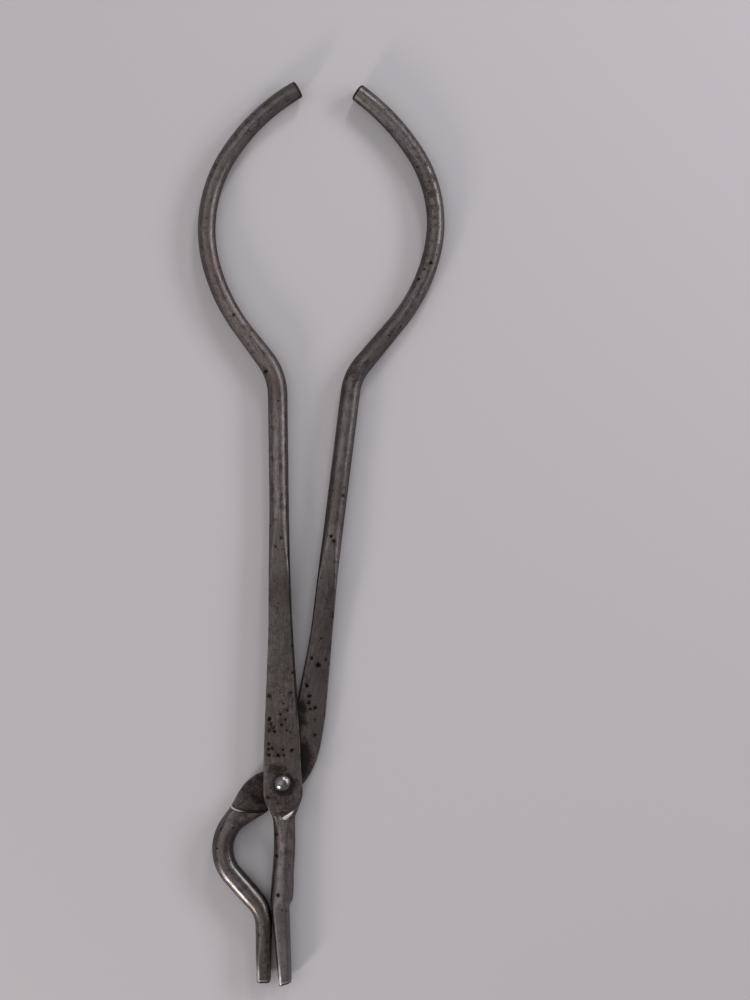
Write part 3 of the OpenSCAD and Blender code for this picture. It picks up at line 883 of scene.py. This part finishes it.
# Colours of the steel, and of the painted shade and painted highlights on it.
COLD_TINT = "#69675f"
RUBBED_STEEL = "#aaa6a8"
TARNISH = "#594b49"
SCALE_AND_SIDE_SHADE = "#2e2725"
WORN_CORNER = "#c2beb9"
PAINTED_SHADE = "#1b1817"
GRIME_AND_SHADE = "#3a2b26"
BLACK_SCALE_AND_SHADE = "#120f0e"
PIT_RUST = "#38281f"
PIT = "#0f0d0b"
PAINTED_HIGHLIGHT_COLOUR = "#eceae8"


# A tip's rim gets a painted highlight this far from its cut end, and every cut end has painted shade round
# its face.
HIGHLIGHT_RIM = 2.4
SHADED_END = 1.8


def forged_steel(name, pits, pale, deep, rubbed, tip_highlight, shaded_side, shift):
    """Bare forged steel, worn satin and tarnished.

    The grain and the streaks along the bar give the eye its size, the brown clouds its age, and the black
    pits and stains the places where scale and grime have stayed. Some of the stains are painted shade as
    well, and painted shade and painted highlights lie along the sides, inner corners, cut ends, tips and
    crest.
    """
    material, tree, shader = new_material(name)
    place = scaled_place(tree, out(add(tree, "ShaderNodeTexCoord"), "Object"), (1, 1, 1))
    own = scaled_place(tree, place, (1, 1, 1), shift)
    unbent = out(add(tree, "ShaderNodeAttribute", attribute_name="unbent"), "Vector")
    edge = out(add(tree, "ShaderNodeAttribute", attribute_name="edge"), "Fac")
    bright = out(add(tree, "ShaderNodeAttribute", attribute_name="bright"), "Fac")
    stain_and_shade = out(add(tree, "ShaderNodeAttribute", attribute_name="stain_and_shade"), "Fac")
    normal = add(tree, "ShaderNodeSeparateXYZ", {0: out(add(tree, "ShaderNodeNewGeometry"), "Normal")})

    # Patterns: fine grain, file and wear streaks along the bar, patches and clouds of tarnish.
    grain = noise_value(tree, own, 0.9, detail=4.0, roughness=0.65)
    streaks = noise_value(tree, scaled_place(tree, unbent, (0.1, 1, 1), shift), 0.9, detail=3.0)
    patches = noise_value(tree, own, 4.5, detail=4.0, roughness=0.6)
    clouds = noise_value(tree, own, 22, detail=3.0)
    ragged_noise = add(tree, "ShaderNodeTexNoise", {"Vector": own, "Scale": 1 / (1.2 * MM), "Detail": 3.0})
    ragged = out(ragged_noise, "Color")
    ragged_value = maths(tree, "SUBTRACT", out(ragged_noise), 0.5)

    # Pits: those that show, on the upper side, and a random scatter that thickens in the tarnish.
    on_top = between(tree, out(normal, "Z"), 0.05, 0.35)
    out_of_pit = placed_pits(tree, place, ragged, pits)
    filled = maths(tree, "MULTIPLY", on_top, between(tree, patches, 0.36, 0.54, 0.6, 1.0))
    named_pits = maths(tree, "MULTIPLY", between(tree, out_of_pit, 1.05, 0.75), filled)
    rust = maths(tree, "MULTIPLY", between(tree, out_of_pit, 1.7, 1.0), on_top)
    thick = between(tree, clouds, 0.42, 0.62, 0.25, 1.0)
    small_pits = maths(tree, "MULTIPLY", specks(tree, own, 2.2, 0.75), thick)
    fine_pits = maths(tree, "MULTIPLY", specks(tree, own, 0.9, 0.3), 0.6)
    pitted = maths(tree, "MAXIMUM", named_pits, maths(tree, "MAXIMUM", small_pits, fine_pits))

    # The bare metal: mottled, with cold tints, and rubbed paler towards the upper tip.
    tone = maths(tree, "MULTIPLY", patches, 0.42)
    tone = maths(tree, "MULTIPLY_ADD", streaks, 0.25, tone)
    tone = maths(tree, "MULTIPLY_ADD", grain, 0.33, tone)
    colour = blended(tree, between(tree, tone, 0.4, 0.6), linear(deep), linear(pale))
    tint = noise_value(tree, scaled_place(tree, unbent, (0.4, 1, 1), shift), 16)
    colour = blended(tree, between(tree, tint, 0.45, 0.62, 0.0, 0.35), colour, linear(COLD_TINT))
    distance = out(add(tree, "ShaderNodeSeparateXYZ", {0: unbent}), "X")
    near_tip = between(tree, distance, -20 * MM, -78 * MM)
    colour = blended(tree, maths(tree, "MULTIPLY", near_tip, rubbed), colour, linear(RUBBED_STEEL))

    # Tarnish in clouds, a darker skin of scale on the flats, and painted shade down the sides of the bars
    # and flats.
    tarnish = maths(tree, "MULTIPLY_ADD", patches, 0.6, maths(tree, "MULTIPLY", clouds, 0.4))
    tarnish = between(tree, tarnish, 0.46, 0.6)
    colour = blended(tree, maths(tree, "MULTIPLY", tarnish, 0.55), colour, linear(TARNISH))
    facing_up = maths(tree, "ABSOLUTE", out(normal, "Z"))
    low_side_shade = between(tree, facing_up, 0.62, 0.3, 0.0, 0.6)
    flat = out(add(tree, "ShaderNodeAttribute", attribute_name="flat"), "Fac")
    flat_scale_and_side_shade = maths(
        tree, "MULTIPLY", between(tree, flat, 0.1, 0.95), between(tree, facing_up, 0.85, 0.5, 0.48, 0.85),
    )
    colour = blended(tree, maths(tree, "MAXIMUM", flat_scale_and_side_shade, low_side_shade), colour, linear(SCALE_AND_SIDE_SHADE))

    # Worn corners, and painted shade along the blades' inner corners.
    worn = maths(tree, "MULTIPLY", edge, between(tree, patches, 0.35, 0.55, 0.0, 0.35))
    colour = blended(tree, maths(tree, "MULTIPLY", worn, 0.7), colour, linear(WORN_CORNER))
    across = out(add(tree, "ShaderNodeAttribute", attribute_name="across"), "Fac")
    inner_corner_shade = between(tree, maths(tree, "MULTIPLY", across, shaded_side), 0.8, 0.92)
    inner_corner_shade = maths(tree, "MULTIPLY", inner_corner_shade, between(tree, distance, 30 * MM, 42 * MM))
    inner_corner_shade = maths(tree, "MULTIPLY", inner_corner_shade, between(tree, distance, 150 * MM, 125 * MM))
    colour = blended(tree, maths(tree, "MULTIPLY", inner_corner_shade, 0.85), colour, linear(PAINTED_SHADE))

    # Painted shade on the cut ends, and painted highlights on the squared tips' rims and along their left
    # corners.
    from_end = out(add(tree, "ShaderNodeAttribute", attribute_name="from end"), "Fac")
    squared = between(tree, flat, 0.1, 0.3)
    tip_corner_highlight = maths(tree, "MULTIPLY", squared, on_top)
    tip_corner_highlight = maths(tree, "MULTIPLY", tip_corner_highlight, between(tree, from_end, 16 * MM, 4 * MM))
    tip_corner_highlight = maths(tree, "MULTIPLY", tip_corner_highlight, between(tree, across, -0.45, -0.68))
    rim_highlight = maths(tree, "MULTIPLY", squared, between(tree, from_end, HIGHLIGHT_RIM * MM, (HIGHLIGHT_RIM - 0.3) * MM))
    rim_highlight = maths(tree, "MULTIPLY", rim_highlight, between(tree, grain, 0.35, 0.6, 0.2, 0.6))
    end_highlights = maths(tree, "MAXIMUM", rim_highlight, maths(tree, "MULTIPLY", tip_corner_highlight, tip_highlight))
    colour = blended(tree, end_highlights, colour, linear(PAINTED_HIGHLIGHT_COLOUR))
    painted_end_shade = between(tree, from_end, SHADED_END * MM, (SHADED_END - 0.3) * MM, 0.0, 0.85)
    painted_end_shade = maths(tree, "MULTIPLY", painted_end_shade, between(tree, from_end, 0.2 * MM, 0.5 * MM, 0.5, 1.0))
    colour = blended(tree, painted_end_shade, colour, linear(PAINTED_SHADE))

    # Stains and painted shade, brown at their ragged rims and black inside, then the rust round the pits and
    # the pits.
    ragged_stain_and_shade = maths(tree, "MULTIPLY_ADD", patches, 4.0, -2.0)
    ragged_stain_and_shade = maths(tree, "MULTIPLY_ADD", ragged_value, 1.8, ragged_stain_and_shade)
    ragged_stain_and_shade = maths(tree, "ADD", stain_and_shade, ragged_stain_and_shade)
    grime_and_shade = maths(tree, "MULTIPLY", between(tree, ragged_stain_and_shade, 0.1, 0.9), between(tree, stain_and_shade, 0.0, 0.3))
    black_stain_and_shade = maths(tree, "MULTIPLY", between(tree, ragged_stain_and_shade, 0.6, 1.9), between(tree, stain_and_shade, 0.3, 0.7))
    colour = blended(tree, maths(tree, "MULTIPLY", grime_and_shade, 0.8), colour, linear(GRIME_AND_SHADE))
    colour = blended(tree, maths(tree, "MULTIPLY", black_stain_and_shade, 0.85), colour, linear(BLACK_SCALE_AND_SHADE))
    colour = blended(tree, maths(tree, "MULTIPLY", rust, 0.5), colour, linear(PIT_RUST))
    colour = blended(tree, maths(tree, "MULTIPLY", pitted, 0.95), colour, linear(PIT))

    # Painted highlights on the crest and along the shoulder's line.
    bright = between(tree, maths(tree, "MULTIPLY_ADD", ragged_value, 0.25, bright), 0.3, 0.65)
    colour = blended(tree, maths(tree, "MULTIPLY", bright, 0.9), colour, linear(PAINTED_HIGHLIGHT_COLOUR))
    tree.links.new(colour, shader.inputs["Base Color"])

    # Scale in the pits and stains, and the painted shade among them, is dull and hardly metallic; the
    # painted highlights are less metallic too, and the worn corners are the smoothest.
    dull = maths(tree, "MAXIMUM", maths(tree, "MULTIPLY", grime_and_shade, 0.5), maths(tree, "MAXIMUM", black_stain_and_shade, pitted))
    unmetallic = maths(tree, "MULTIPLY", dull, 0.75)
    unmetallic = maths(tree, "MAXIMUM", unmetallic, maths(tree, "MULTIPLY", bright, 0.6))
    tree.links.new(maths(tree, "SUBTRACT", 1.0, unmetallic), shader.inputs["Metallic"])
    hidden = maths(tree, "MAXIMUM", pitted, maths(tree, "MULTIPLY", black_stain_and_shade, 0.6))
    tree.links.new(maths(tree, "MULTIPLY_ADD", hidden, -0.5, 0.5), shader.inputs["Specular IOR Level"])
    rough = maths(tree, "MULTIPLY_ADD", grain, 0.2, maths(tree, "MULTIPLY_ADD", tarnish, 0.1, 0.28))
    rough = maths(tree, "ADD", rough, between(tree, distance, -26 * MM, -40 * MM, 0.0, -0.07))
    rough = maths(tree, "MULTIPLY_ADD", dull, 0.2, rough)
    rough = maths(tree, "MULTIPLY_ADD", worn, -0.08, rough)
    tree.links.new(rough, shader.inputs["Roughness"])
    height = maths(tree, "MULTIPLY_ADD", grain, 0.035, maths(tree, "MULTIPLY", streaks, 0.03))
    height = maths(tree, "MULTIPLY_ADD", patches, 0.05, height)
    height = maths(tree, "MULTIPLY_ADD", pitted, -0.07, height)
    bump = add(tree, "ShaderNodeBump", {"Strength": 0.8, "Distance": MM, "Height": height})
    tree.links.new(out(bump), shader.inputs["Normal"])
    return material


def rivet_steel():
    """The rivet's head, rubbed to pale steel, with fine scratches and the grime and painted shade round its
    foot.
    """
    material, tree, shader = new_material("polished rivet steel")
    place = out(add(tree, "ShaderNodeTexCoord"), "Object")
    flat = out(add(tree, "ShaderNodeVectorMath", {0: place, 1: (1, 1, 0)}, operation="MULTIPLY"))
    radius = out(add(tree, "ShaderNodeVectorMath", {0: flat}, operation="LENGTH"), "Value")
    grain = noise_value(tree, place, 0.7, detail=4.0, roughness=0.6)
    scratches = noise_value(tree, scaled_place(tree, place, (1, 0.12, 1)), 0.35, detail=2.0)
    colour = blended(tree, between(tree, grain, 0.35, 0.6), linear("#625e60"), linear("#928c8e"))
    spots = specks(tree, place, 1.6, 0.6)
    foot = between(tree, maths(tree, "MULTIPLY_ADD", grain, 0.9 * MM, radius), 5.5 * MM, 5.85 * MM)
    grime_and_shade = maths(tree, "MAXIMUM", spots, foot)
    colour = blended(tree, maths(tree, "MULTIPLY", grime_and_shade, 0.8), colour, linear("#2b2725"))
    tree.links.new(colour, shader.inputs["Base Color"])
    tree.links.new(maths(tree, "MULTIPLY_ADD", grime_and_shade, -0.6, 1.0), shader.inputs["Metallic"])
    tree.links.new(maths(tree, "MULTIPLY_ADD", grain, 0.16, 0.24), shader.inputs["Roughness"])
    height = maths(tree, "MULTIPLY_ADD", scratches, 0.02, maths(tree, "MULTIPLY", grain, 0.03))
    bump = add(tree, "ShaderNodeBump", {"Strength": 0.8, "Distance": MM, "Height": height})
    tree.links.new(out(bump), shader.inputs["Normal"])
    return material


def rivet_solid(steel):
    """The rivet, turned about its axis: a peened tail, a shank and a domed head with hammered facets."""
    head_z = STACK_Z + HEAD_GAP
    dome_r = (HEAD_H ** 2 + HEAD_D ** 2 / 4) / (2 * HEAD_H)
    centre_z = head_z + HEAD_H - dome_r
    rise = math.asin(HEAD_D / 2 / dome_r)
    outline = [
        (0.0, TAIL_GAP), (TAIL_D / 2, TAIL_GAP), (RIVET_D / 2, TAIL_GAP + TAIL_H), (RIVET_D / 2, head_z),
    ]
    for i in range(DOME_RINGS + 1):
        turn = rise * (1 - i / DOME_RINGS)
        outline.append((dome_r * math.sin(turn), centre_z + dome_r * math.cos(turn)))
    made = lathe("domed_rivet", outline)
    made.data.materials.append(steel)
    count = len(made.data.vertices)
    points = read_vectors(made.data.vertices, "co", count) / MM
    on_head = points[:, 2] > head_z + 0.2
    for azimuth, tilt, depth in HEAD_FACETS:
        a, t = math.radians(azimuth), math.radians(tilt)
        facing = np.array([math.sin(t) * math.cos(a), math.sin(t) * math.sin(a), math.cos(t)])
        proud = (points - [0, 0, centre_z]) @ facing - (dome_r - depth)
        points -= np.outer(np.where(on_head, np.maximum(proud, 0), 0), facing)
    made.data.vertices.foreach_set("co", (points * MM).astype(np.float32).ravel())
    made.data.update()
    return made


# Camera: straight down on the middle of the photograph's frame, far enough back for little perspective.
MM_PER_PIXEL = 0.5537
PHOTO_W, PHOTO_H = 750, 1000
RIVET_PIXEL = (283, 781.5)
LENS = 60
SENSOR = 36
MID_Z = 6


# The lamps face this place on the floor, and the floor lies just under the tongs. All in metres.
LIT_X = 0.03
LIT_Y = 0.13
FLOOR_HALF = 3
FLOOR_DROP = 0.0002


def camera():
    data = bpy.data.cameras.new("camera")
    data.lens = LENS
    data.sensor_width = SENSOR
    data.clip_start = 0.01
    made = bpy.data.objects.new("camera", data)
    bpy.context.scene.collection.objects.link(made)
    x = (PHOTO_W / 2 - RIVET_PIXEL[0]) * MM_PER_PIXEL
    y = (RIVET_PIXEL[1] - PHOTO_H / 2) * MM_PER_PIXEL
    distance = LENS / SENSOR * PHOTO_H * MM_PER_PIXEL
    made.location = (x * MM, y * MM, (distance + MID_Z) * MM)
    bpy.context.scene.camera = made


def lamp(name, azimuth, tilt, distance, width, height, power, colour="#ffffff"):
    """A soft lamp that faces the tongs' middle, tilt degrees from overhead."""
    data = bpy.data.lights.new(name, "AREA")
    data.shape = "RECTANGLE"
    data.size = height
    data.size_y = width
    data.energy = power
    data.color = linear(colour)[:3]
    made = bpy.data.objects.new(name, data)
    bpy.context.scene.collection.objects.link(made)
    a, t = math.radians(azimuth), math.radians(tilt)
    made.location = (
        LIT_X + distance * math.sin(t) * math.cos(a),
        LIT_Y + distance * math.sin(t) * math.sin(a),
        distance * math.cos(t),
    )
    made.rotation_euler = (0, t, a)


def studio():
    world = bpy.data.worlds.new("studio")
    bpy.context.scene.world = world
    world.use_nodes = True
    background = next(n for n in world.node_tree.nodes if n.type == "BACKGROUND")
    background.inputs["Color"].default_value = linear("#f4f4f8")
    background.inputs["Strength"].default_value = 0.3
    lamp("window right, near pane", azimuth=36, tilt=64, distance=1.5, width=0.2, height=0.3, power=3.3)
    lamp("window right, far pane", azimuth=74, tilt=61, distance=1.5, width=0.2, height=0.3, power=3.8)
    lamp(
        "pale wall right", azimuth=14, tilt=64, distance=1.6, width=0.9, height=0.4, power=6,
        colour="#f4f4ff",
    )
    lamp(
        "window low left", azimuth=232, tilt=71, distance=1.5, width=0.25, height=0.3, power=8,
        colour="#fff8f0",
    )
    lamp("soft box", azimuth=172, tilt=27, distance=2.2, width=2.2, height=2.5, power=12.5)
    corners = [(-1, -1), (1, -1), (1, 1), (-1, 1)]
    floor = mesh_object(
        "floor", [(x * FLOOR_HALF, y * FLOOR_HALF, -FLOOR_DROP) for x, y in corners], faces=[(0, 1, 2, 3)],
    )
    material, tree, shader = new_material("pale painted board")
    shader.inputs["Base Color"].default_value = linear("#c6c2c5")
    shader.inputs["Roughness"].default_value = 0.7
    floor.data.materials.append(material)


tree = bar_tree()
section = section_object()
upper_rows = bar_rings(
    upper_place, upper_section, upper_slant,
    bar_stations(UPPER_REACH, route_l(UPPER_REIN), fine_from=13.5, fine_to=23.5),
)
lower_rows = bar_rings(
    lower_place, lower_section, lower_slant,
    bar_stations(lower_jaw_l, route_l(LOWER_REIN), fine_from=LOWER_SHOULDER - 1, fine_to=LOWER_SHOULDER + 4),
)
upper_steel = forged_steel(
    "tarnished forged steel, upper", UPPER_PITS, pale="#88807e", deep="#544c4a", rubbed=0.3, tip_highlight=0.9,
    shaded_side=1, shift=(0, 0, 0),
)
lower_steel = forged_steel(
    "tarnished forged steel, lower", LOWER_PITS, pale="#807a79", deep="#514b4a", rubbed=0.0, tip_highlight=0.5,
    shaded_side=-1, shift=(0.3, 0.1, 0.2),
)
bore_r = RIVET_D / 2 + RIVET_FIT
tail_r = TAIL_D / 2 + RIVET_FIT
# The four numbers after the crest set where the painted highlight fades out across each bar.
above = 2 * STACK_Z
upper = forged_half(
    "upper_forging", upper_rows, tree, section, upper_steel, seed=3.0,
    crest=(CREST_LEAN, CREST_CURVE, CREST_LEFT), highlight_fade=(-0.4, 0.2, 0.5, 0.9),
    bore=[(0, 0), (bore_r, 0), (bore_r, above), (0, above)],
    pits=UPPER_PITS, stains_and_shade=UPPER_STAINS_AND_SHADE,
)
lower = forged_half(
    "lower_forging", lower_rows, tree, section, lower_steel, seed=8.0,
    crest=(0.0, 0.0, 0.0), highlight_fade=(-2.0, -1.2, -0.6, 0.6),
    bore=[
        (0, -1), (tail_r, -1), (tail_r, TAIL_GAP), (bore_r, TAIL_GAP + TAIL_H), (bore_r, above), (0, above),
    ],
    pits=LOWER_PITS, stains_and_shade=LOWER_STAINS_AND_SHADE,
)
bpy.data.objects.remove(section)
rivet = rivet_solid(rivet_steel())

for piece, body, node, slot in (
    (upper, "upper", "upper_half", "forged_bar"),
    (lower, "lower", "lower_half", "forged_bar"),
    (rivet, "lower", "rivet", "rivet_steel"),
):
    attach(piece, body)
    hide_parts(node)

camera()
studio()
bpy.context.scene.view_settings.view_transform = "Standard"
